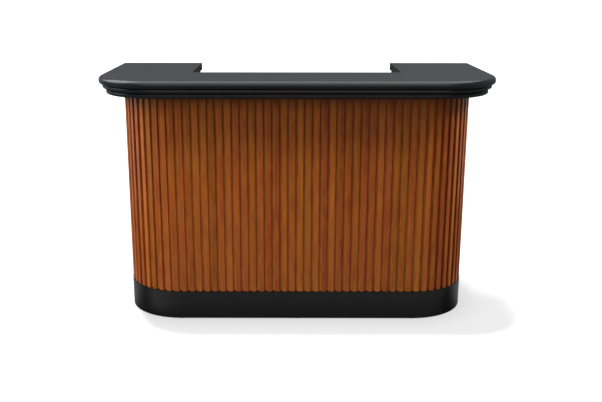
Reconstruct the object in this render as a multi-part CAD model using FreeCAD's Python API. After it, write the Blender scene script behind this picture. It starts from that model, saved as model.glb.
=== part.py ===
import FreeCAD, Part
import math
import os

from FreeCAD import Vector

# A free-standing home bar, seen by a guest from -Y and worked from +Y.
# Millimetres, +Z up. The origin is on the floor under the middle of the worktop.
# A U-shaped worktop of three boards sits on a body clad with upright slats, over a black plinth.
# Two pedestals, one under each wing of the worktop, hold a drawer above a door.
# Between them a shallow run of open shelves faces the niche where the host stands.

# Worktop outline
bar_height = 1067.0
top_width = 1724.0
top_depth = 792.0
top_corner_radius = 275.0
counter_depth = 358.0          # front edge to back edge, in the middle stretch
wing_width = 396.0             # of each wing that runs back beside the niche

# Worktop boards, from the top down, with how far each stands in from the slab's outer edge
slab_thickness = 33.0
bead_thickness = 18.0
bead_inset = 15.0
quirk_thickness = 6.0
quirk_depth = 6.0              # behind the frieze's edge
frieze_thickness = 18.0
frieze_inset = 30.0
frieze_bevel = 3.0             # of its upper edge
frieze_round = 6.0             # of its lower edge
nose_upper_share = 0.5         # of a nosed board's thickness, rounded over above
nose_lower_share = 0.35        # and below
inner_step = 8.0               # each board stands this much further back at the niche
slab_bevel = 1.2               # of the slab's top edge at the niche and the wing ends

# Body
front_overhang = 85.0          # slab edge to slat faces, at the front
side_overhang = 98.0           # and at the sides
back_overhang = 26.0           # slab edge to the pedestals' backs
body_corner_radius = 250.0     # at the slat faces
slat_width = 20.0
slat_thickness = 10.0
slat_bevel = 1.8
slat_pitch = 34.6              # aimed at; each run is divided evenly
panel_thickness = 15.0         # bent and flat panels behind the slats
board_thickness = 18.0         # decks, uprights, dust boards
end_stile_width = 19.0

# Plinth and glides
plinth_height = 130.0          # floor to the ledge that the slats stand on
plinth_proud = 2.0
plinth_thickness = 40.0
rail_thickness = 18.0
toe_space = 50.0
glide_height = 4.0
glide_width = 24.0             # square
glide_end_margin = 45.0

# Shelves and stemware rack
shelf_thickness = 18.0
shelf_setback = 8.0
shelf_side_gap = 0.5
centre_shelf_count = 2         # in each bay, dividing it evenly
wing_shelf_room = 75.0         # from where the corner's bend begins to the shelf's front edge
cleat_width = 12.0
cleat_height = 16.0
cleat_end_gap = 20.0
stem_rail_pitch = 95.0         # aimed at
stem_spacer_width = 22.0
stem_spacer_height = 30.0
stem_flange_width = 66.0
stem_flange_thickness = 10.0

# Drawers
front_gap = 2.0                # reveal round the inset drawer fronts and doors
front_thickness = 18.0
drawer_front_height = 140.0
drawer_room = 43.0             # from where the corner's bend begins to the drawer's back
drawer_side_thickness = 12.0
drawer_headroom = 28.0         # top of the box below the top of its front
drawer_lift = 8.0              # underside of the box above the underside of its front
bottom_thickness = 6.0
bottom_rise = 8.0              # underside of the bottom above the underside of the sides
bottom_groove = 5.0
runner_height = 14.0
runner_groove = 6.0
runner_clearance = 0.5

# Doors
stile_width = 45.0
rail_width = 55.0
panel_field = 8.0              # thickness of a door's panel
panel_groove = 8.0             # depth of the groove that takes the panel and the rails' tenons
hinge_height = 64.0
hinge_end_margin = 70.0
hinge_leaf_gap = 0.2           # between the two leaves of a closed hinge
hinge_leaf_depth = 15.0
knuckle_radius = 3.2
knuckle_stand_off = 0.6        # barrel to the door's face
knuckle_gap = 0.2              # between neighbouring knuckles, along the pin
pin_radius = 1.5
pin_clearance = 0.05
catch_width = 44.0
catch_depth = 15.0
catch_height = 12.0
catch_gap = 0.4
catch_inset = 8.0              # from the door's free edge
strike_thickness = 1.0

# Knobs
knob_neck = 12.0               # square section
knob_neck_length = 13.0
knob_head = 28.0
knob_head_length = 11.0
knob_bevel = 3.0
knob_inset = 24.0              # a door's knob, in from the free edge
knob_drop = 130.0              # and down from the door's top

# Worked out from the sizes above
half_width = top_width / 2
niche_width = top_width - 2 * wing_width
top_front = -top_depth / 2
top_back = top_depth / 2
slab_bottom = bar_height - slab_thickness
bead_bottom = slab_bottom - bead_thickness
quirk_inset = frieze_inset + quirk_depth
quirk_bottom = bead_bottom - quirk_thickness
body_top = quirk_bottom - frieze_thickness

body_half = half_width - side_overhang
body_front = top_front + front_overhang
body_back = top_back - back_overhang
corner_x = body_half - body_corner_radius
corner_y = body_front + body_corner_radius
panel_radius = body_corner_radius - slat_thickness
panel_front = body_front + slat_thickness
panel_side = body_half - slat_thickness
room_front = panel_front + panel_thickness
room_side = panel_side - panel_thickness
room_inset = slat_thickness + panel_thickness
side_panel_back = body_back - end_stile_width

board_step = 2 * inner_step
niche_half = niche_width / 2 + board_step       # the uprights' faces at the niche
niche_front = top_front + counter_depth - board_step
pedestal_inside = niche_half + board_thickness
deck_top = plinth_height + board_thickness

fronts_inside = body_back - front_thickness
drawer_top = body_top - front_gap
drawer_bottom = drawer_top - drawer_front_height
dust_top = drawer_bottom - front_gap
dust_bottom = dust_top - board_thickness
door_top = dust_bottom - front_gap
door_bottom = deck_top + front_gap
front_x0 = pedestal_inside + front_gap
front_x1 = room_side - front_gap
drawer_back = corner_y + drawer_room

hinge_leaf = (front_gap - hinge_leaf_gap) / 2
hinge_x = room_side - front_gap / 2
hinge_y = body_back + knuckle_stand_off + knuckle_radius

tolerance = 1e-4


def box(x0, x1, y0, y1, z0, z1):
    """A block between two corners."""
    return Part.makeBox(x1 - x0, y1 - y0, z1 - z0, Vector(x0, y0, z0))


def mirrored(shape):
    """The same piece on the other side of the bar."""
    return shape.mirror(Vector(0, 0, 0), Vector(1, 0, 0))


def line(a, b):
    return Part.makeLine(Vector(*a), Vector(*b))


def arc(centre, radius, start, end):
    """An arc in plan from one angle to another, in degrees."""
    points = []
    for angle in (start, (start + end) / 2, end):
        turn = math.radians(angle)
        points.append(Vector(centre[0] + radius * math.cos(turn), centre[1] + radius * math.sin(turn), 0))
    return Part.Arc(*points).toShape()


def slab_of(edges, bottom, top):
    """The plan drawn by a closed run of edges, as a board between two heights."""
    face = Part.Face(Part.Wire(edges))
    face.translate(Vector(0, 0, bottom))
    return face.extrude(Vector(0, 0, top - bottom))


def round_fronted(half, front, back, radius, bottom, top):
    """A block with straight sides and rounded front corners, symmetric in x."""
    centre_x = half - radius
    centre_y = front + radius
    edges = [
        line((-half, back, 0), (-half, centre_y, 0)),
        arc((-centre_x, centre_y), radius, 180, 270),
        line((-centre_x, front, 0), (centre_x, front, 0)),
        arc((centre_x, centre_y), radius, 270, 360),
        line((half, centre_y, 0), (half, back, 0)),
        line((half, back, 0), (-half, back, 0)),
    ]
    return slab_of(edges, bottom, top)


def body_block(inset, bottom, top):
    """A block with the body's outline, drawn in from the slat faces."""
    return round_fronted(body_half - inset, body_front + inset, body_back, body_corner_radius - inset,
                         bottom, top)


def within_room(piece):
    """A piece cut to the space inside the panels."""
    return piece.common(body_block(room_inset, 0.0, body_top))


def worktop_board(inset, inner, bottom, top):
    """A U-shaped board: inset from the slab's front and sides, inner back from its niche and wing ends."""
    back = top_back - inner
    board = round_fronted(half_width - inset, top_front + inset, back, top_corner_radius - inset, bottom, top)
    niche_side = niche_width / 2 + inner
    niche = box(-niche_side, niche_side, top_front + counter_depth - inner, back, bottom, top)
    return board.cut(niche)


def show_edges(board, inset, height):
    """The edges along a worktop board's front, corners and sides, at one height."""
    half = half_width - inset
    front = top_front + inset
    found = []
    for edge in board.Edges:
        middle = edge.valueAt((edge.FirstParameter + edge.LastParameter) / 2)
        start, end = edge.Vertexes[0].Point, edge.Vertexes[-1].Point
        level = abs(start.z - end.z) < tolerance
        at_height = abs(middle.z - height) < tolerance
        on_arc = isinstance(edge.Curve, Part.Circle)
        on_front = abs(middle.y - front) < tolerance
        on_side = abs(abs(middle.x) - half) < tolerance
        if level and at_height and (on_arc or on_front or on_side):
            found.append(edge)
    return found


def niche_edges(slab):
    """The slab's top edges along the niche and across the wing ends."""
    found = []
    for edge in slab.Edges:
        box_of_edge = edge.BoundBox
        on_top = box_of_edge.ZMin > bar_height - tolerance
        middle = edge.CenterOfMass
        at_end = abs(middle.y - top_back) < tolerance
        at_side = abs(abs(middle.x) - niche_width / 2) < tolerance
        at_counter = abs(middle.y - (top_front + counter_depth)) < tolerance and abs(middle.x) < tolerance
        if on_top and (at_end or at_side or at_counter):
            found.append(edge)
    return found


def nosed_board(inset, inner, bottom, top):
    """A worktop board whose show edges are rounded over, above and below."""
    board = worktop_board(inset, inner, bottom, top)
    thickness = top - bottom
    board = board.makeFillet(nose_upper_share * thickness, show_edges(board, inset, top))
    return board.makeFillet(nose_lower_share * thickness, show_edges(board, inset, bottom))


def top_slab():
    """Nosed round the front and sides, and only bevelled along the niche and the wing ends."""
    slab = nosed_board(0.0, 0.0, slab_bottom, bar_height)
    return slab.makeChamfer(slab_bevel, niche_edges(slab))


def bead_board():
    return nosed_board(bead_inset, inner_step, bead_bottom, slab_bottom)


def frieze_board():
    """A band rounded over below, under a narrow set-back quirk that shows as a dark line."""
    band = worktop_board(frieze_inset, board_step, body_top, quirk_bottom)
    band = band.makeFillet(frieze_round, show_edges(band, frieze_inset, body_top))
    band = band.makeChamfer(frieze_bevel, show_edges(band, frieze_inset, quirk_bottom))
    quirk = worktop_board(quirk_inset, board_step, quirk_bottom, bead_bottom)
    return band.fuse(quirk).removeSplitter()


def slat():
    """One upright slat with bevelled front edges, its back on the origin and its face towards +Y."""
    half = slat_width / 2
    shoulder = slat_thickness - slat_bevel
    face = half - slat_bevel
    corners = [(-half, 0, 0), (half, 0, 0), (half, shoulder, 0), (face, slat_thickness, 0),
               (-face, slat_thickness, 0), (-half, shoulder, 0)]
    edges = [line(a, b) for a, b in zip(corners, corners[1:] + corners[:1])]
    return slab_of(edges, plinth_height, body_top)


def slat_at(x, y, facing):
    """A slat with its back at a point in plan, its face turned to an angle in degrees."""
    piece = slat()
    piece.rotate(Vector(0, 0, 0), Vector(0, 0, 1), facing - 90)
    piece.translate(Vector(x, y, 0))
    return piece


def evenly(length):
    """Middles of equal stretches of about one slat pitch along a length."""
    count = max(1, round(length / slat_pitch))
    return [(i + 0.5) * length / count for i in range(count)]


def front_slats():
    flat = 2 * corner_x
    return [slat_at(s - corner_x, panel_front, -90) for s in evenly(flat)]


def corner_slats():
    quarter = panel_radius * math.pi / 2
    pieces = []
    for along in evenly(quarter):
        facing = math.degrees(along / panel_radius) - 90
        turn = math.radians(facing)
        x = corner_x + panel_radius * math.cos(turn)
        y = corner_y + panel_radius * math.sin(turn)
        pieces.append(slat_at(x, y, facing))
    return pieces


def side_slats():
    return [slat_at(panel_side, corner_y + s, 0) for s in evenly(side_panel_back - corner_y)]


def end_stile():
    """Solid strip that closes the slats at the pedestal's back and carries the door's hinges."""
    return box(room_side, body_half, side_panel_back, body_back, plinth_height, body_top)


def front_panel():
    return box(-corner_x, corner_x, panel_front, room_front, plinth_height, body_top)


def corner_panel():
    """Bent panel behind the slats of one corner."""
    outside = body_block(slat_thickness, plinth_height, body_top)
    shell = outside.cut(body_block(room_inset, plinth_height, body_top))
    return shell.common(box(corner_x, panel_side, panel_front, corner_y, plinth_height, body_top))


def side_panel():
    return box(room_side, panel_side, corner_y, side_panel_back, plinth_height, body_top)


def inner_panel():
    """Upright between the shelves and a pedestal, standing on the pedestal's deck."""
    return within_room(box(niche_half, pedestal_inside, room_front, body_back, deck_top, body_top))


def centre_divider():
    half = board_thickness / 2
    return box(-half, half, room_front, niche_front, deck_top, body_top)


def centre_deck():
    return within_room(box(-niche_half, niche_half, room_front, niche_front, plinth_height, deck_top))


def pedestal_deck():
    """Floor of one pedestal, rounded where it meets the bent corner panel."""
    return within_room(box(niche_half, room_side, room_front, body_back, plinth_height, deck_top))


plinth_inset = plinth_thickness - plinth_proud      # the band's inside, from the slat faces
plinth_outside = body_half + plinth_proud
plinth_front = body_front - plinth_proud
plinth_rail_x = niche_half + toe_space
plinth_rail_back = body_back - toe_space


def plinth_band():
    """Bent band round the front and sides. The slats and panels stand on its top edge."""
    outside = body_block(-plinth_proud, glide_height, plinth_height)
    return outside.cut(body_block(plinth_inset, glide_height, plinth_height))


def plinth_rail(x0, x1, y0, y1):
    """A rail inside the band, cut to meet it."""
    return box(x0, x1, y0, y1, glide_height, plinth_height).common(
        body_block(plinth_inset, glide_height, plinth_height))


def plinth_rear_rails():
    """Set-back rails that close the plinth under the pedestals' doors."""
    right = plinth_rail(plinth_rail_x, plinth_outside, plinth_rail_back - rail_thickness, plinth_rail_back)
    return [right, mirrored(right)]


def plinth_niche_rails():
    """Rails round the niche: one along each pedestal, and one under the shelves' deck."""
    right = plinth_rail(plinth_rail_x, plinth_rail_x + rail_thickness, plinth_front,
                        plinth_rail_back - rail_thickness)
    back = niche_front - toe_space
    centre = plinth_rail(-plinth_rail_x, plinth_rail_x, back - rail_thickness, back)
    return [right, mirrored(right), centre]


def floor_glides():
    """Square pads under the middle of the band and near the ends of its sides."""
    band_y = plinth_front + plinth_thickness / 2
    band_x = plinth_outside - plinth_thickness / 2
    right = [(corner_x, band_y), (band_x, corner_y), (band_x, body_back - glide_end_margin)]
    spots = [(0.0, band_y)] + right + [(-x, y) for x, y in right]
    half = glide_width / 2
    return [box(x - half, x + half, y - half, y + half, 0.0, glide_height) for x, y in spots]


bay_x0 = board_thickness / 2
shelf_x0 = bay_x0 + shelf_side_gap
shelf_x1 = niche_half - shelf_side_gap
shelf_back = niche_front - shelf_setback
stem_spacer_bottom = body_top - stem_spacer_height
stem_flange_bottom = stem_spacer_bottom - stem_flange_thickness
open_height = stem_flange_bottom - deck_top - centre_shelf_count * shelf_thickness
tier_height = open_height / (centre_shelf_count + 1)
centre_shelf_bottoms = [deck_top + tier_height + i * (tier_height + shelf_thickness)
                        for i in range(centre_shelf_count)]
wing_shelf_x0 = pedestal_inside + shelf_side_gap
wing_shelf_x1 = room_side - shelf_side_gap
wing_shelf_front = corner_y + wing_shelf_room
wing_shelf_back = fronts_inside - shelf_setback
wing_shelf_bottom = (deck_top + dust_bottom - shelf_thickness) / 2


def centre_shelf(z):
    return within_room(box(shelf_x0, shelf_x1, room_front, shelf_back, z, z + shelf_thickness))


def wing_shelf():
    return box(wing_shelf_x0, wing_shelf_x1, wing_shelf_front, wing_shelf_back,
               wing_shelf_bottom, wing_shelf_bottom + shelf_thickness)


def cleat_pair(x0, x1, y0, y1, z):
    """A cleat on each side wall of a bay, under the ends of a shelf at height z."""
    low = z - cleat_height
    pair = [box(x0, x0 + cleat_width, y0, y1, low, z), box(x1 - cleat_width, x1, y0, y1, low, z)]
    return [within_room(cleat) for cleat in pair]


def shelf_cleats():
    """Strips that carry the shelves, fixed to the uprights."""
    right = []
    for z in centre_shelf_bottoms:
        right += cleat_pair(bay_x0, niche_half, room_front, shelf_back - cleat_end_gap, z)
    right += cleat_pair(pedestal_inside, room_side, wing_shelf_front, wing_shelf_back - cleat_end_gap,
                        wing_shelf_bottom)
    return right + [mirrored(piece) for piece in right]


def stem_rail_middles():
    """Middles of the stemware rails across one bay, in x."""
    bay = niche_half - bay_x0
    count = max(2, round(bay / stem_rail_pitch))
    return [bay_x0 + (i + 0.5) * bay / count for i in range(count)]


def stem_strips(width, bottom, top):
    """One strip of every stemware rail, running from the front panel towards the niche."""
    half = width / 2
    right = []
    for x in stem_rail_middles():
        right.append(within_room(box(x - half, x + half, room_front, shelf_back, bottom, top)))
    return right + [mirrored(piece) for piece in right]


def stemware_spacers():
    return stem_strips(stem_spacer_width, stem_spacer_bottom, body_top)


def stemware_flanges():
    return stem_strips(stem_flange_width, stem_flange_bottom, stem_spacer_bottom)


def dust_board():
    """Board between drawer and door, as deep as the drawer."""
    return box(pedestal_inside, room_side, drawer_back, body_back, dust_bottom, dust_top)


drawer_box_bottom = drawer_bottom + drawer_lift
drawer_box_top = drawer_top - drawer_headroom
runner_z0 = (drawer_box_bottom + drawer_box_top - runner_height) / 2
runner_z1 = runner_z0 + runner_height
bottom_z0 = drawer_box_bottom + bottom_rise
bottom_z1 = bottom_z0 + bottom_thickness


def drawer_runners():
    """Hardwood strips on both walls of each pedestal, in the grooves of the drawer's sides."""
    reach = front_gap + runner_groove - runner_clearance
    right = []
    for x0, x1 in ((pedestal_inside, pedestal_inside + reach), (room_side - reach, room_side)):
        right.append(box(x0, x1, drawer_back, fronts_inside - runner_clearance, runner_z0, runner_z1))
    return right + [mirrored(piece) for piece in right]


def drawer_front():
    return box(front_x0, front_x1, fronts_inside, body_back, drawer_bottom, drawer_top)


def drawer_bottom_panel():
    inset = drawer_side_thickness - bottom_groove
    return box(front_x0 + inset, front_x1 - inset, drawer_back, fronts_inside, bottom_z0, bottom_z1)


def drawer_sides():
    """Grooved outside for the runners and inside for the bottom."""
    groove_z0 = runner_z0 - runner_clearance
    groove_z1 = runner_z1 + runner_clearance
    bottom = drawer_bottom_panel()
    pieces = []
    for x0, outside in ((front_x0, front_x0), (front_x1 - drawer_side_thickness, front_x1 - runner_groove)):
        side = box(x0, x0 + drawer_side_thickness, drawer_back, fronts_inside,
                   drawer_box_bottom, drawer_box_top)
        groove = box(outside, outside + runner_groove, drawer_back, fronts_inside, groove_z0, groove_z1)
        pieces.append(side.cut(groove).cut(bottom))
    return pieces


def drawer_back_board():
    """Stands on the drawer's bottom, between its sides."""
    return box(front_x0 + drawer_side_thickness, front_x1 - drawer_side_thickness, drawer_back,
               drawer_back + drawer_side_thickness, bottom_z1, drawer_box_top)


def square_post(x, z, width, y0, y1):
    """A post of square section standing out along +Y."""
    half = width / 2
    return box(x - half, x + half, y0, y1, z - half, z + half)


def knob(x, z):
    """A square knob on the back face of a drawer or door: a neck, and a head bevelled at front and back."""
    head_start = body_back + knob_neck_length
    head_end = head_start + knob_head_length
    head = square_post(x, z, knob_head, head_start, head_end)
    around = [edge for edge in head.Edges if edge.BoundBox.YLength < tolerance]
    neck = square_post(x, z, knob_neck, body_back, head_start)
    return head.makeChamfer(knob_bevel, around).fuse(neck)


def drawer_knob():
    return knob((front_x0 + front_x1) / 2, (drawer_bottom + drawer_top) / 2)


def door_knob():
    return knob(front_x0 + knob_inset, door_top - knob_drop)


def door_panel():
    """Flat panel, held in the frame's grooves."""
    middle = (fronts_inside + body_back) / 2
    return box(front_x0 + stile_width - panel_groove, front_x1 - stile_width + panel_groove,
               middle - panel_field / 2, middle + panel_field / 2,
               door_bottom + rail_width - panel_groove, door_top - rail_width + panel_groove)


def door_frame():
    """Two stiles, grooved along their inner edges, and two rails with stub tenons in those grooves."""
    y0, y1 = fronts_inside, body_back
    middle = (y0 + y1) / 2
    groove_y0, groove_y1 = middle - panel_field / 2, middle + panel_field / 2
    inner_x0, inner_x1 = front_x0 + stile_width, front_x1 - stile_width
    tenon_x0, tenon_x1 = inner_x0 - panel_groove, inner_x1 + panel_groove
    panel = door_panel()
    groove = box(tenon_x0, tenon_x1, groove_y0, groove_y1, door_bottom, door_top)
    pieces = []
    for x0, x1 in ((front_x0, inner_x0), (inner_x1, front_x1)):
        pieces.append(box(x0, x1, y0, y1, door_bottom, door_top).cut(groove))
    for z0, z1 in ((door_bottom, door_bottom + rail_width), (door_top - rail_width, door_top)):
        tenons = box(tenon_x0, tenon_x1, groove_y0, groove_y1, z0, z1)
        pieces.append(box(inner_x0, inner_x1, y0, y1, z0, z1).fuse(tenons).cut(panel))
    return pieces


def hinge_bases():
    """Lower ends of a door's two hinges."""
    return (door_bottom + hinge_end_margin, door_top - hinge_end_margin - hinge_height)


def hinge_leaf_shape(x0, x1, z0, knuckles):
    """A hinge leaf: a plate in the door's reveal, with a tab to each knuckle."""
    leaf = box(x0, x1, body_back - hinge_leaf_depth, body_back, z0, z0 + hinge_height)
    for low, high in knuckles:
        tab = box(x0, x1, body_back, hinge_y, low, high)
        barrel = Part.makeCylinder(knuckle_radius, high - low, Vector(hinge_x, hinge_y, low))
        leaf = leaf.fuse(tab).fuse(barrel)
    return leaf


def hinge_rod(radius, z0):
    """A rod along the whole axis of a hinge."""
    return Part.makeCylinder(radius, hinge_height, Vector(hinge_x, hinge_y, z0))


def knuckle_heights(z0):
    """Lower and upper ends of the three knuckles of a hinge, from the bottom up."""
    third = hinge_height / 3
    return [(z0, z0 + third - knuckle_gap),
            (z0 + third, z0 + 2 * third),
            (z0 + 2 * third + knuckle_gap, z0 + hinge_height)]


def cabinet_hinge_leaves():
    """The leaves on the end stiles, with the outer knuckles and the pins riveted in them."""
    right = []
    for z0 in hinge_bases():
        low, _, high = knuckle_heights(z0)
        leaf = hinge_leaf_shape(room_side - hinge_leaf, room_side, z0, (low, high))
        right.append(leaf.fuse(hinge_rod(pin_radius, z0)).removeSplitter())
    return right + [mirrored(piece) for piece in right]


def door_hinge_leaves():
    """The leaves on a door's edge, with the middle knuckles bored to turn on the pins."""
    pieces = []
    for z0 in hinge_bases():
        _, middle, _ = knuckle_heights(z0)
        leaf = hinge_leaf_shape(front_x1, front_x1 + hinge_leaf, z0, (middle,))
        pieces.append(leaf.cut(hinge_rod(pin_radius + pin_clearance, z0)).removeSplitter())
    return pieces


catch_x0 = front_x0 + catch_inset
catch_x1 = catch_x0 + catch_width
catch_bottom = dust_bottom - catch_height


def door_catches():
    """Magnetic catches under the dust boards, near each door's free edge."""
    face = fronts_inside - strike_thickness - catch_gap
    right = box(catch_x0, catch_x1, face - catch_depth, face, catch_bottom, dust_bottom)
    return [right, mirrored(right)]


def door_strike():
    """Steel plate on the inside of a door, in front of the catch."""
    return box(catch_x0, catch_x1, fronts_inside - strike_thickness, fronts_inside, catch_bottom, door_top)


def build():
    """Every node of the bar, by name, as a list of its pieces."""
    nodes = {
        "top_slab": [top_slab()],
        "bead_board": [bead_board()],
        "frieze_board": [frieze_board()],
        "front_slats": front_slats(),
        "front_panel": [front_panel()],
        "centre_divider": [centre_divider()],
        "centre_deck": [centre_deck()],
        "plinth_band": [plinth_band()],
        "plinth_rear_rails": plinth_rear_rails(),
        "plinth_niche_rails": plinth_niche_rails(),
        "floor_glides": floor_glides(),
        "shelf_cleats": shelf_cleats(),
        "stemware_spacers": stemware_spacers(),
        "stemware_flanges": stemware_flanges(),
        "drawer_runners": drawer_runners(),
        "cabinet_hinge_leaves": cabinet_hinge_leaves(),
        "door_catches": door_catches(),
    }
    handed = {
        "corner_slats": corner_slats(),
        "side_slats": side_slats(),
        "end_stile": [end_stile()],
        "corner_panel": [corner_panel()],
        "side_panel": [side_panel()],
        "inner_panel": [inner_panel()],
        "deck": [pedestal_deck()],
        "wing_shelf": [wing_shelf()],
        "dust_board": [dust_board()],
        "drawer_front": [drawer_front()],
        "drawer_sides": drawer_sides(),
        "drawer_back": [drawer_back_board()],
        "drawer_bottom": [drawer_bottom_panel()],
        "drawer_knob": [drawer_knob()],
        "door_frame": door_frame(),
        "door_panel": [door_panel()],
        "door_knob": [door_knob()],
        "door_hinge_leaves": door_hinge_leaves(),
        "door_strike": [door_strike()],
    }
    for number, z in enumerate(centre_shelf_bottoms, start=1):
        handed[f"centre_shelf_{number}"] = [centre_shelf(z)]
    for name, solids in handed.items():
        nodes[f"right_{name}"] = solids
        nodes[f"left_{name}"] = [mirrored(solid) for solid in solids]
    return nodes


os.makedirs("parts", exist_ok=True)
for node, pieces in build().items():
    solids = [solid for piece in pieces for solid in piece.Solids]
    shape = solids[0] if len(solids) == 1 else Part.makeCompound(solids)
    shape.exportStep(f"parts/{node}.step")
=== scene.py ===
import math

import bmesh
import bpy
from mathutils import Matrix, Vector


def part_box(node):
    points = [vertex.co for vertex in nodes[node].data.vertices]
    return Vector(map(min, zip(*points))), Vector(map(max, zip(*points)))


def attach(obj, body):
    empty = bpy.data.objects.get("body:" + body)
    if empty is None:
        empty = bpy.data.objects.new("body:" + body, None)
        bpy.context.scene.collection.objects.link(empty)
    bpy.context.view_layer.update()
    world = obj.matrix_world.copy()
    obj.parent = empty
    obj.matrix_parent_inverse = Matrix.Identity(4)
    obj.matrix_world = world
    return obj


# Looks of a home bar with a slatted front, a moulded black top and a black plinth.
# Metres, in the frame of the solids: +Z up, guests at -Y, the serving side at +Y.

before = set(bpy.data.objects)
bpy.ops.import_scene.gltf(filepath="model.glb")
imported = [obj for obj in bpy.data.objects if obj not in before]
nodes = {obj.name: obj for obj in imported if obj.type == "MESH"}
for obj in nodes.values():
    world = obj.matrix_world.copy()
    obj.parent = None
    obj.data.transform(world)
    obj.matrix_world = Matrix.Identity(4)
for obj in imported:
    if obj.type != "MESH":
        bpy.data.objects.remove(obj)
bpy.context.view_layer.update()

# Camera, fitted to the photograph's outlines
IMAGE_WIDTH = 602
FOCAL_PIXELS = 825.44
CENTRE_COLUMN = 285.557
SENSOR_WIDTH = 36.0
EYE = Vector((-0.04026, -3.74407, 1.46387))
PITCH_DOWN = math.radians(14.982)
YAW = math.radians(-0.150)
ROLL = math.radians(0.027)

WORKTOP = ("top_slab", "bead_board", "frieze_board")
PLINTH = ("plinth_band", "plinth_rear_rails", "plinth_niche_rails")

# Slats in each run, the gap's share of a pitch, and what keeps the two sides' slat numbers apart
FRONT_SLATS = 30
CORNER_SLATS = 11
SIDE_SLATS = 12
GAP_SHARE = 0.42
SIDE_STEP = 57.0

# Edges found by a material: samples, and the gain that brings a square edge to about 1
MASK_SAMPLES = 4
MASK_GAIN = 4.0

# Wood. A pattern: repeats per metre along and across the grain, detail, strength in the tone
STREAKS = (2.2, 110.0, 5.0, 0.62)
PORES = (16.0, 900.0, 3.0, 0.22)
FIGURE = (12.0, 38.0, 3.0, 0.6)
PATTERN_ROUGHNESS = 0.6
FIGURE_IN_HUE = 1.4
# Tone and hue, which drift over a board (repeats per metre, detail) or step from slat to slat
TONE_RANGE = (0.36, 0.64)
TONE_DRIFT = (1.7, 1.0)
HUE_DRIFT = (3.0, 1.0)
# How far apart two slats may lie in the patterns
SLAT_OFFSET = 3.0
# Edges painted paler as a painted highlight: radius, least and most share of the palest colour. Roughness:
# least and most. Bump: distance, strength
WOOD_EDGE = 0.0016
WOOD_EDGE_HIGHLIGHT = (0.05, 0.35)
WOOD_ROUGH = (0.26, 0.42)
WOOD_SPECULAR = 0.25
WOOD_BUMP = (0.00022, 0.6)
# Brightness of the backing and of the boards inside, against the slats. The backing is paler than the slats
# as painted light, lifting the shade in the gaps between them
BACKING_PAINTED_LIGHT = 1.4
CABINET_LEVEL = 0.95
# Colours from dark to pale, in two hues that mix
RED_TEAK = ((0.0, (0.10, 0.0165, 0.0022)), (0.3, (0.19, 0.036, 0.0062)), (0.5, (0.255, 0.054, 0.0105)),
            (0.7, (0.30, 0.069, 0.0140)), (1.0, (0.38, 0.104, 0.025)))
GOLD_TEAK = ((0.0, (0.100, 0.025, 0.0014)), (0.3, (0.190, 0.052, 0.0036)), (0.5, (0.250, 0.073, 0.0061)),
             (0.7, (0.300, 0.092, 0.0085)), (1.0, (0.380, 0.135, 0.0153)))
TEAK = (RED_TEAK, GOLD_TEAK)
PALE_BIRCH = ((0.0, (0.38, 0.24, 0.12)), (0.5, (0.55, 0.38, 0.21)), (1.0, (0.68, 0.50, 0.30)))
WARM_BIRCH = ((0.0, (0.36, 0.21, 0.09)), (0.5, (0.53, 0.35, 0.17)), (1.0, (0.66, 0.47, 0.26)))
BIRCH = (PALE_BIRCH, WARM_BIRCH)

# Lacquer. A pattern: repeats per metre, detail. A shade: place on the ramp, share of the base colour.
# Rubbed edges: share of the base colour, lift. Roughness: least and most change from the given one
LACQUER_CLOUDS = (6.0, 3.0)
LACQUER_SPECKS = (700.0, 2.0)
LACQUER_PEEL = (240.0, 2.0)
CLOUD_SHARE = 0.6
SPECK_SHARE = 0.4
LACQUER_SHADES = ((0.3, 0.8), (0.7, 1.2))
LACQUER_EDGE = 0.002
LACQUER_WEAR = (0.05, 0.3)
LACQUER_RUBBED = (2.5, 0.004)
LACQUER_ROUGH = (-0.05, 0.07)
LACQUER_BUMP = (0.00006, 0.5)
# The radius that eases the lacquered edges, and its samples
EASED_EDGE = 0.006
EASED_SAMPLES = 8
# Painted shade on the boards' faces round the niche, darkened to look as dark as their shade: reach beyond
# the boards, and share of the base colour
EDGE_MARGIN = 0.0015
NICHE_PAINTED_SHADE = 0.15

# Metal and plastic, in the same terms as the lacquer
METAL_SPECKS = (900.0, 3.0)
METAL_CLOUDS = (40.0, 2.0)
METAL_SHADES = ((0.3, 0.85), (0.7, 1.15))
METAL_EDGE = 0.0006
METAL_WEAR = (0.1, 0.5)
METAL_RUBBED = (2.0, 0.03)
METAL_ROUGH = (-0.06, 0.08)
METAL_BUMP = (0.00003, 0.5)
PLASTIC_GRAIN = (1500.0, 2.0)
PLASTIC_CLOUDS = (30.0, 2.0)
PLASTIC_SHADES = ((0.3, 0.9), (0.7, 1.0))
PLASTIC_ROUGH = (-0.05, 0.1)
PLASTIC_BUMP = (0.00004, 0.5)

# Hinges, and the screws that hold them, the strikes and the catches. A screw: radius, height
HINGE_HEIGHT = 0.064
HINGE_PLATE_DEPTH = 0.015
HINGE_LEAF = 0.0009
HINGE_SCREW_PLACES = (1 / 6, 1 / 2, 5 / 6)
HINGE_SCREW = (0.0031, 0.00006)
STRIKE_SCREW = (0.0028, 0.0002)
CATCH_SCREW = (0.0032, 0.0011)
SCREW_INSET = 0.007
HEAD_STEPS = 24
HEAD_ROOT = 0.0002
HEAD_PROFILE = ((0.12, 0.1), (0.24, 0.92), (0.52, 1.0), (0.58, 1.0), (0.9, 0.94), (1.0, 0.55))
RECESS_ARMS = 4
RECESS_REACH = 0.55
RECESS_LIFT = 0.1

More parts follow.
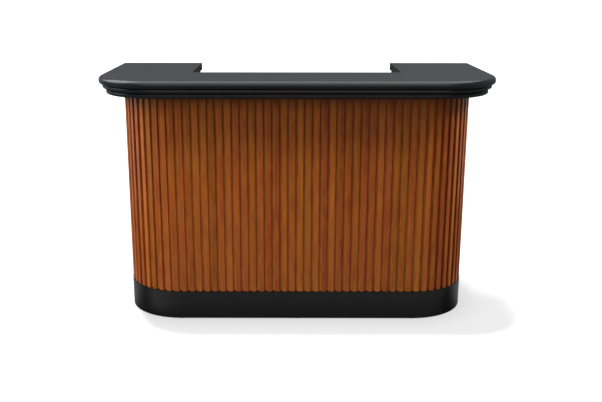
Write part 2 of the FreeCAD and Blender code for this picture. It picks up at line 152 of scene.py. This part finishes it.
# Lamps that colour the bar: name, azimuth and elevation in degrees, distance, size, power
TARGET = Vector((0.0, -0.3, 0.6))
LAMPS = (
    ("key", -42.0, 34.0, 4.2, (1.2, 3.2), 80.0),
    ("left_flank", -85.0, 30.0, 4.2, (1.2, 1.6), 158.0),
    ("right_flank", 84.0, 40.0, 4.2, (1.2, 1.6), 205.0),
    ("rear", 165.0, 45.0, 4.2, (2.4, 1.6), 90.0),
)
# One more, steep over the worktop's edge, for the cladding alone
CLADDING_LAMPS = (("high", -34.0, 81.5, 4.0, (1.4, 2.0), 585.0),)
# Panels that only show in the gloss of some pieces: name, place, size, power
EDGE = Vector((0.0, -0.4, 1.05))
WORKTOP_PANELS = (
    ("strip", Vector((0.0, -0.1, 3.1)), (5.0, 3.2), 126.0),
    ("front", Vector((0.0, -4.2, 3.4)), (6.0, 4.6), 85.0),
    ("left", Vector((-2.75, 0.1, 2.75)), (2.4, 2.2), 64.0),
    ("back", Vector((-3.9, 2.5, 1.25)), (1.6, 2.5), 2.0),
)
CLADDING_PANELS = (
    ("wall", Vector((-2.6, -0.5, 0.75)), (3.0, 1.5), 20.0),
    ("far_wall", Vector((2.6, 0.6, 0.75)), (3.0, 1.5), 6.0),
)
# Suns that only light the floor: name, direction, angle
SUNS = (
    ("sun_high", Vector((-0.147, 0.091, 1.0)), math.radians(3.5)),
    ("sun_behind", Vector((-0.147, 0.394, 1.0)), math.radians(10.0)),
)
SUN_STRENGTH = 3.8

WHITE = (1.0, 1.0, 1.0, 1.0)
# The world, as it lights the bar and shows in its gloss
WORLD_LEVEL = 0.2
WORLD_TINT = (0.93, 0.99, 1.06, 1.0)

# Floor: half its width, and the distances from the bar's middle between which near turns to far
FLOOR_HALF = 200.0
GLOW_NEAR = 1.3
GLOW_FAR = 2.8
# As it lights the bar
FLOOR_ALBEDO = 0.24
FLOOR_FAR_ALBEDO = 0.07
# As the camera sees it: white, with the suns' shadows and a contact shadow
FLOOR_SHADE = 0.25
FLOOR_GLOW = 0.81
FLOOR_FAR_GLOW = 1.0
CONTACT_REACH = 0.14
CONTACT_DEPTH = 0.31
CONTACT_SAMPLES = 16
# As the bar mirrors it: dimmer than the camera sees it, to keep the lacquer as dark as the photograph's.
# Bright in front of the bar, darkest beside its corners, bright again behind, dimmer for long reflections
MIRROR_ALBEDO = 0.17
MIRROR_FAR_ALBEDO = 0.05
MIRROR_GLOW = 0.21
MIRROR_FRONT = -0.38
MIRROR_BACK = -0.26
MIRROR_BACK_SHARE = 0.1
MIRROR_REAR_GLOW = 0.34
MIRROR_REAR_START = -0.24
MIRROR_REAR_END = -0.03
MIRROR_SHORT = 0.4
MIRROR_LONG = 0.8
MIRROR_LONG_SHARE = 0.25


def add(tree, kind, inputs=None, **settings):
    """A new node with its settings, and its inputs linked to sockets or set to values."""
    made = tree.nodes.new(kind)
    for name, value in settings.items():
        setattr(made, name, value)
    for key, value in (inputs or {}).items():
        if isinstance(value, bpy.types.NodeSocket):
            tree.links.new(value, made.inputs[key])
        else:
            made.inputs[key].default_value = value
    return made


def maths(tree, operation, *values):
    return add(tree, "ShaderNodeMath", dict(enumerate(values)), operation=operation).outputs[0]


def vector_maths(tree, operation, *values):
    return add(tree, "ShaderNodeVectorMath", dict(enumerate(values)), operation=operation).outputs


def noise(tree, vector, scale, detail, roughness=0.55):
    inputs = {"Vector": vector, "Scale": scale, "Detail": detail, "Roughness": roughness}
    return add(tree, "ShaderNodeTexNoise", inputs).outputs[0]


def ramp(tree, factor, stops):
    """Colours along a factor, from (place, colour) stops."""
    made = add(tree, "ShaderNodeValToRGB", {0: factor})
    elements = made.color_ramp.elements
    while len(elements) < len(stops):
        elements.new(0.5)
    for element, (place, colour) in zip(elements, stops):
        element.position = place
        element.color = (*colour, 1.0)
    return made.outputs[0]


def blend(tree, factor, a, b):
    """The colour a where a factor is 0, and b where it is 1."""
    made = add(tree, "ShaderNodeMix", data_type="RGBA")
    for index, value in ((0, factor), (6, a), (7, b)):
        if isinstance(value, bpy.types.NodeSocket):
            tree.links.new(value, made.inputs[index])
        else:
            made.inputs[index].default_value = (*value, 1.0)
    return made.outputs[2]


def pick(tree, factor, low, high):
    """The number low where a factor is 0, and high where it is 1."""
    return add(tree, "ShaderNodeMix", {0: factor, 2: low, 3: high}, data_type="FLOAT").outputs[0]


def spread(tree, factor, low, high):
    """A factor from 0 to 1, stretched from low to high."""
    return add(tree, "ShaderNodeMapRange", {0: factor, 3: low, 4: high}).outputs[0]


def eased(tree, value, start, end):
    """0 up to start and 1 from end, with a smooth change between."""
    inputs = {0: value, 1: start, 2: end}
    return add(tree, "ShaderNodeMapRange", inputs, interpolation_type="SMOOTHSTEP").outputs[0]


def swing(tree, pattern, strength):
    """A pattern from 0 to 1, moved to swing to both sides of 0."""
    return maths(tree, "MULTIPLY", maths(tree, "SUBTRACT", pattern, 0.5), strength)


def tinted(base, share, lift=0.0):
    return tuple(c * share + lift for c in base)


def dimmed(stops, level):
    return [(place, tinted(colour, level)) for place, colour in stops]


def shades(base, stops):
    """Stops for a ramp, from places and shares of a base colour."""
    return [(place, tinted(base, share)) for place, share in stops]


def new_material(name):
    """An empty material with its surface shader, and coordinates in metres in the part's frame."""
    material = bpy.data.materials.new(name)
    material.use_nodes = True
    tree = material.node_tree
    shader = tree.nodes["Principled BSDF"]
    coords = add(tree, "ShaderNodeTexCoord").outputs["Object"]
    return material, tree, shader, coords


def edge_mask(tree, radius):
    """About 1 on sharp edges and 0 on flat faces."""
    rounded = add(tree, "ShaderNodeBevel", {"Radius": radius}, samples=MASK_SAMPLES).outputs[0]
    plain = add(tree, "ShaderNodeNewGeometry").outputs["Normal"]
    facing = vector_maths(tree, "DOT_PRODUCT", rounded, plain)["Value"]
    return spread(tree, maths(tree, "SUBTRACT", 1.0, facing), 0.0, MASK_GAIN)


def wear_and_highlight(tree, radius, pattern, share):
    """How far edges are paled, more here and less there: rubbed on lacquer and metal, a painted highlight on
    wood.
    """
    return maths(tree, "MULTIPLY", edge_mask(tree, radius), spread(tree, pattern, *share))


def bump(tree, height, depth, eased_by=0.0):
    """The normal of a rough surface, with its edges eased by a radius if one is given."""
    distance, strength = depth
    inputs = {"Height": height, "Distance": distance, "Strength": strength}
    if eased_by:
        rounded = add(tree, "ShaderNodeBevel", {"Radius": eased_by}, samples=EASED_SAMPLES)
        inputs["Normal"] = rounded.outputs[0]
    return add(tree, "ShaderNodeBump", inputs).outputs[0]


def slat_cell(tree, coords, run):
    """A number that is the same all over one slat and different on the next."""
    split = add(tree, "ShaderNodeSeparateXYZ", {0: coords})
    x, y = split.outputs[0], split.outputs[1]
    front_low, front_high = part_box("front_slats")
    side_low, side_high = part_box("right_side_slats")
    front_pitch = (front_high.x - front_low.x) / (FRONT_SLATS - GAP_SHARE)
    side_pitch = (side_high.y - side_low.y) / (SIDE_SLATS - GAP_SHARE)
    front_half = front_pitch * FRONT_SLATS / 2
    side_start = (side_low.y + side_high.y - side_pitch * SIDE_SLATS) / 2
    if run == "front":
        place = maths(tree, "DIVIDE", maths(tree, "ADD", x, front_half), front_pitch)
    elif run == "side":
        place = maths(tree, "DIVIDE", maths(tree, "SUBTRACT", y, side_start), side_pitch)
    else:
        across = maths(tree, "SUBTRACT", maths(tree, "ABSOLUTE", x), front_half)
        along = maths(tree, "SUBTRACT", side_start, y)
        turn = maths(tree, "ARCTAN2", across, along)
        place = maths(tree, "DIVIDE", turn, math.pi / 2 / CORNER_SLATS)
    step = 0.0 if run == "front" else SIDE_STEP
    side = maths(tree, "MULTIPLY", maths(tree, "SIGN", x), step)
    return maths(tree, "ADD", maths(tree, "FLOOR", place), side)


def grain(tree, place, axis, pattern):
    """Noise drawn out along the grain."""
    along, across, detail, _ = pattern
    repeats = tuple(along if name == axis else across for name in "xyz")
    return noise(tree, vector_maths(tree, "MULTIPLY", place, repeats)[0], 1.0, detail, PATTERN_ROUGHNESS)


def wood(name, axis, hues, run=None, level=1.0):
    """Straight-grained wood along an axis, with streaks, pores, figure and edges painted paler as a painted
    highlight.

    In a run of slats each slat has a tone, hue and grain of its own.
    """
    material, tree, shader, coords = new_material(name)
    if run:
        cell = slat_cell(tree, coords, run)
        random = add(tree, "ShaderNodeTexWhiteNoise", {"W": cell}, noise_dimensions="1D").outputs
        tone = spread(tree, random["Value"], *TONE_RANGE)
        inputs = {0: random["Color"], "Scale": SLAT_OFFSET}
        offset = add(tree, "ShaderNodeVectorMath", inputs, operation="SCALE").outputs[0]
        place = vector_maths(tree, "ADD", coords, offset)[0]
        own_hue = add(tree, "ShaderNodeSeparateColor", {0: random["Color"]}).outputs[1]
    else:
        tone = spread(tree, noise(tree, coords, *TONE_DRIFT), *TONE_RANGE)
        place = coords
        own_hue = noise(tree, coords, *HUE_DRIFT)
    streaks, pores, figure = (grain(tree, place, axis, pattern) for pattern in (STREAKS, PORES, FIGURE))
    value = tone
    for pattern, (*_, strength) in ((streaks, STREAKS), (pores, PORES), (figure, FIGURE)):
        value = maths(tree, "ADD", value, swing(tree, pattern, strength))
    hue = maths(tree, "ADD", own_hue, swing(tree, figure, FIGURE_IN_HUE))
    first, second = (dimmed(stops, level) for stops in hues)
    colour = blend(tree, hue, ramp(tree, value, first), ramp(tree, value, second))
    palest = second[-1][1]
    # Painted highlight: the edges blend towards the palest colour
    colour = blend(tree, wear_and_highlight(tree, WOOD_EDGE, figure, WOOD_EDGE_HIGHLIGHT), colour, palest)
    tree.links.new(colour, shader.inputs["Base Color"])
    tree.links.new(spread(tree, streaks, *WOOD_ROUGH), shader.inputs["Roughness"])
    shader.inputs["Specular IOR Level"].default_value = WOOD_SPECULAR
    tree.links.new(bump(tree, maths(tree, "ADD", streaks, pores), WOOD_BUMP), shader.inputs["Normal"])
    return material


def niche_shade_mask(tree, coords):
    """1 on the boards' faces round the niche, where shade is painted, and 0 elsewhere."""
    half = -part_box("left_inner_panel")[1].x + EDGE_MARGIN
    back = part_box("centre_deck")[1].y - EDGE_MARGIN
    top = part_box("top_slab")[1].z - EDGE_MARGIN / 2
    x, y, z = add(tree, "ShaderNodeSeparateXYZ", {0: coords}).outputs
    between = maths(tree, "LESS_THAN", maths(tree, "ABSOLUTE", x), half)
    behind = maths(tree, "GREATER_THAN", y, back)
    below = maths(tree, "LESS_THAN", z, top)
    return maths(tree, "MULTIPLY", maths(tree, "MULTIPLY", between, behind), below)


def lacquer(name, base, specular, rough, niche_shaded=False):
    """Satin black lacquer over board: faint clouding, fine orange peel, and edges rubbed a little paler."""
    material, tree, shader, coords = new_material(name)
    clouds = noise(tree, coords, *LACQUER_CLOUDS)
    specks = noise(tree, coords, *LACQUER_SPECKS)
    peel = noise(tree, coords, *LACQUER_PEEL)
    value = maths(tree, "ADD", maths(tree, "MULTIPLY", clouds, CLOUD_SHARE),
                  maths(tree, "MULTIPLY", specks, SPECK_SHARE))
    colour = ramp(tree, value, shades(base, LACQUER_SHADES))
    worn = wear_and_highlight(tree, LACQUER_EDGE, clouds, LACQUER_WEAR)
    colour = blend(tree, worn, colour, tinted(base, *LACQUER_RUBBED))
    roughness = spread(tree, clouds, *(rough + change for change in LACQUER_ROUGH))
    if niche_shaded:
        # Painted shade: the faces round the niche get a darker colour and full roughness, so they look as
        # dark as their shade
        painted_niche_shade = niche_shade_mask(tree, coords)
        colour = blend(tree, painted_niche_shade, colour, tinted(base, NICHE_PAINTED_SHADE))
        roughness = maths(tree, "MAXIMUM", roughness, painted_niche_shade)
    tree.links.new(colour, shader.inputs["Base Color"])
    tree.links.new(roughness, shader.inputs["Roughness"])
    shader.inputs["Specular IOR Level"].default_value = specular
    tree.links.new(bump(tree, peel, LACQUER_BUMP, EASED_EDGE), shader.inputs["Normal"])
    return material


def metal(name, base, rough, metallic):
    """Coated or plated metal with fine specks and edges rubbed bright."""
    material, tree, shader, coords = new_material(name)
    specks = noise(tree, coords, *METAL_SPECKS)
    clouds = noise(tree, coords, *METAL_CLOUDS)
    colour = ramp(tree, specks, shades(base, METAL_SHADES))
    worn = wear_and_highlight(tree, METAL_EDGE, clouds, METAL_WEAR)
    tree.links.new(blend(tree, worn, colour, tinted(base, *METAL_RUBBED)), shader.inputs["Base Color"])
    roughness = spread(tree, clouds, *(rough + change for change in METAL_ROUGH))
    tree.links.new(roughness, shader.inputs["Roughness"])
    shader.inputs["Metallic"].default_value = metallic
    tree.links.new(bump(tree, specks, METAL_BUMP), shader.inputs["Normal"])
    return material


def plastic(name, base, rough):
    """Moulded plastic with a fine spark-eroded texture."""
    material, tree, shader, coords = new_material(name)
    texture = noise(tree, coords, *PLASTIC_GRAIN)
    clouds = noise(tree, coords, *PLASTIC_CLOUDS)
    tree.links.new(ramp(tree, clouds, shades(base, PLASTIC_SHADES)), shader.inputs["Base Color"])
    roughness = spread(tree, texture, *(rough + change for change in PLASTIC_ROUGH))
    tree.links.new(roughness, shader.inputs["Roughness"])
    tree.links.new(bump(tree, texture, PLASTIC_BUMP), shader.inputs["Normal"])
    return material


def dress(material, names):
    for name in names:
        mesh = nodes[name].data
        mesh.materials.clear()
        mesh.materials.append(material)


def both(*names):
    return [f"{side}_{name}" for side in ("left", "right") for name in names]


def dress_all():
    dress(lacquer("black_lacquer", base=(0.0075, 0.0080, 0.0088), specular=0.5, rough=0.27, niche_shaded=True),
          WORKTOP)
    dress(lacquer("plinth_black", base=(0.005, 0.005, 0.005), specular=0.42, rough=0.3), PLINTH)
    dress(wood("front_slat_wood", "z", TEAK, "front"), ["front_slats"])
    dress(wood("corner_slat_wood", "z", TEAK, "corner"), both("corner_slats"))
    dress(wood("side_slat_wood", "z", TEAK, "side"), both("side_slats"))
    dress(wood("stile_wood", "z", TEAK), both("end_stile"))
    # Painted light: the backing between the slats is paler than the slats, to lift the shade in the gaps
    dress(wood("backing_wood", "z", TEAK, level=BACKING_PAINTED_LIGHT),
          ["front_panel", *both("corner_panel", "side_panel")])
    dress(wood("upright_wood", "z", TEAK, level=CABINET_LEVEL),
          ["centre_divider", *both("inner_panel", "door_frame", "door_panel")])
    dress(wood("shelf_wood", "x", TEAK, level=CABINET_LEVEL),
          ["centre_deck", *both("drawer_front", "centre_shelf_1", "centre_shelf_2")])
    dress(wood("deep_board_wood", "y", TEAK, level=CABINET_LEVEL),
          ["shelf_cleats", "stemware_spacers", "stemware_flanges", *both("deck", "wing_shelf", "dust_board")])
    dress(wood("birch_along", "y", BIRCH), ["drawer_runners", *both("drawer_sides", "drawer_bottom")])
    dress(wood("birch_across", "x", BIRCH), both("drawer_back"))
    black = metal("black_metal", base=(0.012, 0.012, 0.0125), rough=0.42, metallic=0.0)
    steel = metal("bright_steel", base=(0.45, 0.45, 0.45), rough=0.35, metallic=1.0)
    dress(black, ["cabinet_hinge_leaves", *both("drawer_knob", "door_knob", "door_hinge_leaves")])
    dress(steel, both("door_strike"))
    add_screws(black, steel)
    dress(plastic("brown_plastic", base=(0.05, 0.024, 0.012), rough=0.5), ["door_catches"])
    dress(plastic("white_nylon", base=(0.62, 0.60, 0.55), rough=0.45), ["floor_glides"])


def add_head(shell, place, turn, radius, proud):
    """One screw head with a cross recess, its root just inside the face that it sits on."""
    angles = [2 * math.pi * step / HEAD_STEPS for step in range(HEAD_STEPS)]
    between_arms = HEAD_STEPS // RECESS_ARMS

    def point(share, angle, height):
        flat = Vector((share * radius * math.cos(angle), share * radius * math.sin(angle), height))
        return shell.verts.new(place + turn @ flat)

    middle = point(0.0, 0.0, proud * RECESS_LIFT)
    rings = []
    for share, lift in HEAD_PROFILE:
        in_arm = [step % between_arms == 0 and share < RECESS_REACH for step in range(HEAD_STEPS)]
        rings.append([point(share, angle, proud * (RECESS_LIFT if low else lift))
                      for angle, low in zip(angles, in_arm)])
    rings.append([point(1.0, angle, -HEAD_ROOT) for angle in angles])
    for step in range(HEAD_STEPS):
        following = (step + 1) % HEAD_STEPS
        shell.faces.new((middle, rings[0][step], rings[0][following]))
        for inner, outer in zip(rings, rings[1:]):
            shell.faces.new((inner[step], outer[step], outer[following], inner[following]))
    shell.faces.new(rings[-1][::-1])


def screw_heads(name, body, material, places, outward, size):
    """Screw heads on a face that looks outward, as one piece that rides on a body."""
    turn = Vector(outward).to_track_quat("Z", "Y")
    shell = bmesh.new()
    for place in places:
        add_head(shell, Vector(place), turn, *size)
    mesh = bpy.data.meshes.new(name)
    shell.to_mesh(mesh)
    shell.free()
    mesh.materials.append(material)
    piece = bpy.data.objects.new(name, mesh)
    bpy.context.scene.collection.objects.link(piece)
    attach(piece, body)


def add_screws(black, steel):
    """Three screws in each hinge leaf, two in each strike, and two in each catch from below."""
    low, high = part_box("cabinet_hinge_leaves")
    middle = low.y + HINGE_PLATE_DEPTH / 2
    heights = [base + HINGE_HEIGHT * share
               for base in (low.z, high.z - HINGE_HEIGHT) for share in HINGE_SCREW_PLACES]
    leaf_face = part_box("right_end_stile")[0].x - HINGE_LEAF
    door_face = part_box("right_door_frame")[1].x + HINGE_LEAF
    strike_low, strike_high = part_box("right_door_strike")
    across = (strike_low.x + SCREW_INSET, strike_high.x - SCREW_INSET)
    catch_low, catch_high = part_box("door_catches")
    for side, sign in (("left", -1), ("right", 1)):
        screw_heads(f"{side}_cabinet_hinge_screws", "bar", black,
                    [(sign * leaf_face, middle, z) for z in heights], (-sign, 0, 0), HINGE_SCREW)
        screw_heads(f"{side}_door_hinge_screws", f"{side}_door", black,
                    [(sign * door_face, middle, z) for z in heights], (sign, 0, 0), HINGE_SCREW)
        screw_heads(f"{side}_strike_screws", f"{side}_door", steel,
                    [(sign * x, strike_low.y, (strike_low.z + strike_high.z) / 2) for x in across],
                    (0, -1, 0), STRIKE_SCREW)
        screw_heads(f"{side}_catch_screws", "bar", steel,
                    [(sign * x, (catch_low.y + catch_high.y) / 2, catch_low.z) for x in across],
                    (0, 0, -1), CATCH_SCREW)


def make_camera():
    forward = Vector((math.sin(YAW) * math.cos(PITCH_DOWN), math.cos(YAW) * math.cos(PITCH_DOWN),
                      -math.sin(PITCH_DOWN)))
    level = Vector((math.cos(YAW), -math.sin(YAW), 0.0))
    upward = level.cross(forward)
    right = math.cos(ROLL) * level + math.sin(ROLL) * upward
    up = math.cos(ROLL) * upward - math.sin(ROLL) * level
    data = bpy.data.cameras.new("camera")
    data.sensor_width = SENSOR_WIDTH
    data.lens = FOCAL_PIXELS / IMAGE_WIDTH * SENSOR_WIDTH
    data.shift_x = (IMAGE_WIDTH / 2 - CENTRE_COLUMN) / IMAGE_WIDTH
    camera = bpy.data.objects.new("camera", data)
    turn = Matrix((right, up, -forward)).transposed()
    camera.matrix_world = Matrix.Translation(EYE) @ turn.to_4x4()
    bpy.context.scene.collection.objects.link(camera)
    bpy.context.scene.camera = camera


def softbox(name, place, target, size, power):
    data = bpy.data.lights.new(name, "AREA")
    data.shape = "RECTANGLE"
    data.size, data.size_y = size
    data.energy = power
    lamp = bpy.data.objects.new(name, data)
    lamp.location = place
    lamp.rotation_euler = (target - place).to_track_quat("-Z", "Y").to_euler()
    bpy.context.scene.collection.objects.link(lamp)
    return lamp


def towards(azimuth, elevation):
    """The direction from the bar to a lamp, with the azimuth counted from the guests' side to the right."""
    azimuth, elevation = math.radians(azimuth), math.radians(elevation)
    flat = math.cos(elevation)
    return Vector((math.sin(azimuth) * flat, -math.cos(azimuth) * flat, math.sin(elevation)))


def link_light(lamp, pieces, state):
    """Lets a lamp light these pieces alone, or everything but these pieces."""
    group = bpy.data.collections.new(f"{lamp.name}_link")
    for number, piece in enumerate(pieces):
        group.objects.link(piece)
        group.collection_objects[number].light_linking.link_state = state
    lamp.light_linking.receiver_collection = group


def make_light(floor):
    """Lamps that colour the bar, panels that only show in its gloss, and suns for the floor's shadow."""
    worktop = [nodes[name] for name in WORKTOP]
    rounded = [nodes[name] for name in ("front_slats", "front_panel", *both("corner_slats", "corner_panel"))]
    cladding = rounded + [nodes[name] for name in both("side_slats", "side_panel", "end_stile")]
    for lamps, pieces, state in ((LAMPS, [floor], "EXCLUDE"), (CLADDING_LAMPS, cladding, "INCLUDE")):
        for name, azimuth, elevation, distance, size, power in lamps:
            lamp = softbox(name, TARGET + distance * towards(azimuth, elevation), TARGET, size, power)
            lamp.visible_glossy = False
            link_light(lamp, pieces, state)
    for panels, pieces in ((WORKTOP_PANELS, worktop), (CLADDING_PANELS, rounded)):
        for name, place, size, power in panels:
            panel = softbox(name, place, EDGE, size, power)
            panel.visible_diffuse = False
            panel.visible_camera = False
            link_light(panel, pieces, "INCLUDE")
    for name, direction, angle in SUNS:
        data = bpy.data.lights.new(name, "SUN")
        data.energy = SUN_STRENGTH
        data.angle = angle
        sun = bpy.data.objects.new(name, data)
        sun.rotation_euler = direction.to_track_quat("Z", "Y").to_euler()
        bpy.context.scene.collection.objects.link(sun)
        link_light(sun, [floor], "INCLUDE")


def make_world():
    """A world that the camera sees white, and that is dim where it lights the bar or shows in its gloss."""
    world = bpy.data.worlds.new("studio")
    world.use_nodes = True
    bpy.context.scene.world = world
    tree = world.node_tree
    tree.nodes.clear()
    path = add(tree, "ShaderNodeLightPath").outputs
    seen = maths(tree, "MAXIMUM", path["Is Camera Ray"], path["Is Transmission Ray"])
    dim = add(tree, "ShaderNodeBackground", {"Color": WORLD_TINT, "Strength": WORLD_LEVEL})
    white = add(tree, "ShaderNodeBackground", {"Color": WHITE, "Strength": 1.0})
    either = add(tree, "ShaderNodeMixShader", {0: seen, 1: dim.outputs[0], 2: white.outputs[0]})
    add(tree, "ShaderNodeOutputWorld", {"Surface": either.outputs[0]})


def floor_material():
    """Pale paper that the camera sees white round the bar's shadow, and that the bar mirrors dimmer."""
    material = bpy.data.materials.new("floor")
    material.use_nodes = True
    tree = material.node_tree
    tree.nodes.clear()
    path = add(tree, "ShaderNodeLightPath").outputs
    camera = maths(tree, "MAXIMUM", path["Is Camera Ray"], path["Is Transmission Ray"])
    mirrored = path["Is Glossy Ray"]
    coords = add(tree, "ShaderNodeTexCoord").outputs["Object"]
    far = eased(tree, vector_maths(tree, "LENGTH", coords)["Value"], GLOW_NEAR, GLOW_FAR)
    depth = add(tree, "ShaderNodeSeparateXYZ", {0: coords}).outputs[1]

    inputs = {"Distance": CONTACT_REACH}
    open_air = add(tree, "ShaderNodeAmbientOcclusion", inputs, samples=CONTACT_SAMPLES).outputs["AO"]
    seen_glow = maths(tree, "MULTIPLY", spread(tree, far, FLOOR_GLOW, FLOOR_FAR_GLOW),
                      spread(tree, open_air, 1.0 - CONTACT_DEPTH, 1.0))

    in_front = spread(tree, eased(tree, depth, MIRROR_BACK, MIRROR_FRONT), MIRROR_BACK_SHARE, 1.0)
    behind = spread(tree, eased(tree, depth, MIRROR_REAR_START, MIRROR_REAR_END), 0.0, MIRROR_REAR_GLOW)
    short = spread(tree, eased(tree, path["Ray Length"], MIRROR_LONG, MIRROR_SHORT), MIRROR_LONG_SHARE, 1.0)
    near_glow = maths(tree, "ADD", maths(tree, "MULTIPLY", in_front, MIRROR_GLOW), behind)
    mirror_glow = maths(tree, "MULTIPLY", maths(tree, "MULTIPLY", near_glow, short),
                        spread(tree, far, 1.0, 0.0))
    near_albedo = maths(tree, "MULTIPLY", maths(tree, "MULTIPLY", in_front, short), MIRROR_ALBEDO)
    mirror_albedo = pick(tree, far, near_albedo, MIRROR_FAR_ALBEDO)

    level = maths(tree, "ADD", maths(tree, "MULTIPLY", camera, seen_glow),
                  maths(tree, "MULTIPLY", mirrored, mirror_glow))
    albedo = pick(tree, mirrored, spread(tree, far, FLOOR_ALBEDO, FLOOR_FAR_ALBEDO), mirror_albedo)
    albedo = pick(tree, camera, albedo, FLOOR_SHADE)
    paper = add(tree, "ShaderNodeBsdfDiffuse", {"Color": albedo})
    glow = add(tree, "ShaderNodeEmission", {"Color": WHITE, "Strength": level})
    shown = add(tree, "ShaderNodeAddShader", {0: paper.outputs[0], 1: glow.outputs[0]})
    add(tree, "ShaderNodeOutputMaterial", {"Surface": shown.outputs[0]})
    return material


def make_floor():
    mesh = bpy.data.meshes.new("floor")
    half = FLOOR_HALF
    corners = [(-half, -half, 0), (half, -half, 0), (half, half, 0), (-half, half, 0)]
    mesh.from_pydata(corners, [], [(0, 1, 2, 3)])
    floor = bpy.data.objects.new("floor", mesh)
    bpy.context.scene.collection.objects.link(floor)
    mesh.materials.append(floor_material())
    return floor


dress_all()
make_camera()
make_light(make_floor())
make_world()
bpy.context.scene.view_settings.view_transform = "Standard"
